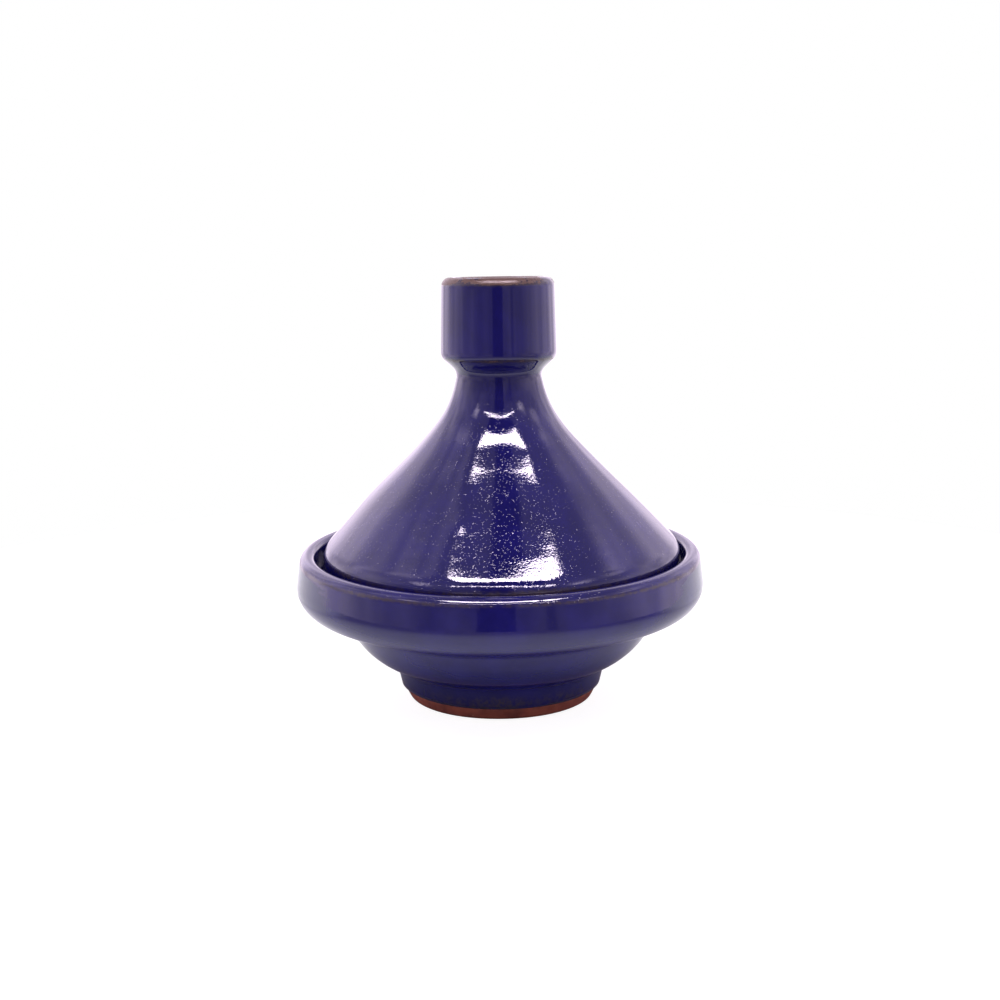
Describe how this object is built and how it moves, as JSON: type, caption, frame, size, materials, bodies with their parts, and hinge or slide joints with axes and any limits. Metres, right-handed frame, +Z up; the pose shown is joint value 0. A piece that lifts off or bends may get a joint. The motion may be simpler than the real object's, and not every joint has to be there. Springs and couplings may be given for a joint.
{
  "type": "tagine pot",
  "caption": "Small glazed tagine: a footed dish with a gallery rim, and a conical lift-off lid with a cup-shaped knob.",
  "frame": {"origin": "centre of the foot, on the table", "axes": "+Z up, along the axis that the pot was turned about; X and Y are level, and the pot is round about Z"},
  "size_m": [0.0998, 0.0998, 0.1024],
  "materials": {
    "terracotta": "bare red earthenware, fired, matt and slightly grainy",
    "cobalt_glaze": "deep cobalt blue glaze, glossy, with a fine orange-peel grain, worn to brown on edges"
  },
  "bodies": {
    "dish": {"dish": "terracotta", "dish_glaze": "cobalt_glaze"},
    "lid": {"lid_cone": "terracotta", "lid_knob": "terracotta", "lid_glaze": "cobalt_glaze"}
  },
  "joints": [
    {"name": "lid_lift", "type": "slide", "parent": "dish", "child": "lid", "axis": [0, 0, 1], "range_m": [0, 0.1]}
  ]
}
